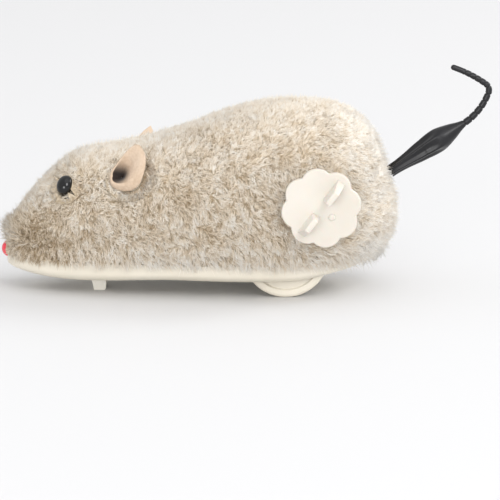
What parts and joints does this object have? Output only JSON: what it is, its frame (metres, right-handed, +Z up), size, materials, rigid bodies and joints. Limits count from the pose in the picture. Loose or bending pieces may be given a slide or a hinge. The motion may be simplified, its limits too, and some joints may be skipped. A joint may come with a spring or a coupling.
{
  "type": "clockwork mouse",
  "caption": "Plush-covered clockwork mouse on a moulded pan, with a petal winding knob, drive wheels, felt ears and a whirling rubber tail.",
  "frame": {"origin": "on the floor, in the symmetry plane, straight below the drive axle", "axes": "+X from nose to tail, -Y towards the winding knob on the mouse's left side, +Z up"},
  "size_m": [0.1367, 0.0647, 0.0628],
  "materials": {
    "plush": "short combed pile",
    "shell_plastic": "moulded",
    "pan_plastic": "satin moulded",
    "knob_plastic": "satin moulded",
    "wheel_plastic": "satin moulded",
    "nose_plastic": "gloss",
    "eye_bead": "gloss",
    "felt": "pressed felt",
    "black_rubber": "satin",
    "steel": "zinc plated",
    "gear_plastic": "moulded acetal",
    "spring_steel": "blued",
    "brass": "drawn"
  },
  "bodies": {
    "body": {"plush_cover": "plush", "body_shell": "shell_plastic", "belly_pan": "pan_plastic", "front_foot": "pan_plastic", "nose_tip": "nose_plastic", "eye_left": "eye_bead", "eye_right": "eye_bead", "ear_left": "felt", "ear_right": "felt", "case_screws": "steel", "gearbox_screws": "steel", "gearbox_plate_left": "steel", "gearbox_plate_right": "steel", "upper_pillars": "steel", "lower_pillars": "steel", "mainspring": "spring_steel", "tail_bush": "gear_plastic"},
    "winding": {"winding_arbor": "steel", "winding_knob": "knob_plastic", "ratchet_wheel": "steel"},
    "great_gear": {"great_wheel": "brass", "click_spring": "spring_steel"},
    "click_pawl": {"click": "steel"},
    "intermediate": {"intermediate_arbor": "steel", "intermediate_pinion": "steel", "intermediate_wheel": "brass"},
    "drive": {"drive_axle": "steel", "axle_pinion": "steel", "wheel_left": "wheel_plastic", "wheel_right": "wheel_plastic"},
    "countershaft": {"tail_countershaft": "steel", "countershaft_pinion": "steel", "crown_wheel": "gear_plastic"},
    "tail_assembly": {"tail_spindle": "steel", "tail_pinion": "gear_plastic", "tail": "black_rubber"}
  },
  "joints": [
    {"name": "winding_arbor", "type": "hinge", "parent": "body", "child": "winding", "pos_m": [0.0094, 0, 0.0277], "axis": [0, 1, 0], "range_deg": [0, 1650], "deforming": ["mainspring"]},
    {"name": "great_wheel", "type": "hinge", "parent": "body", "child": "great_gear", "pos_m": [0.0094, 0, 0.0277], "axis": [0, 1, 0], "continuous": true},
    {"name": "click", "type": "hinge", "parent": "great_gear", "child": "click_pawl", "pos_m": [0.00496, 0, 0.03299], "axis": [0, 1, 0], "range_deg": [-14, 0], "stiffness_Nm_per_rad": 0.0001, "deforming": ["click_spring"]},
    {"name": "intermediate_gear", "type": "hinge", "parent": "body", "child": "intermediate", "pos_m": [-0.00058, 0, 0.02198], "axis": [0, 1, 0], "continuous": true},
    {"name": "drive_axle", "type": "hinge", "parent": "body", "child": "drive", "pos_m": [0, 0, 0.012], "axis": [0, 1, 0], "continuous": true},
    {"name": "tail_countershaft", "type": "hinge", "parent": "body", "child": "countershaft", "pos_m": [0.02037, 0, 0.02686], "axis": [0, 1, 0], "continuous": true},
    {"name": "tail_spin", "type": "hinge", "parent": "body", "child": "tail_assembly", "pos_m": [0.02037, 0, 0.02686], "axis": [0.8339, 0, 0.5519], "continuous": true}
  ],
  "couplings": [
    {"joint": "great_wheel", "follows": "winding_arbor", "ratio": 1},
    {"joint": "intermediate_gear", "follows": "winding_arbor", "ratio": -3.6},
    {"joint": "drive_axle", "follows": "winding_arbor", "ratio": 10.8},
    {"joint": "tail_countershaft", "follows": "winding_arbor", "ratio": -4.5},
    {"joint": "tail_spin", "follows": "winding_arbor", "ratio": -9}
  ]
}
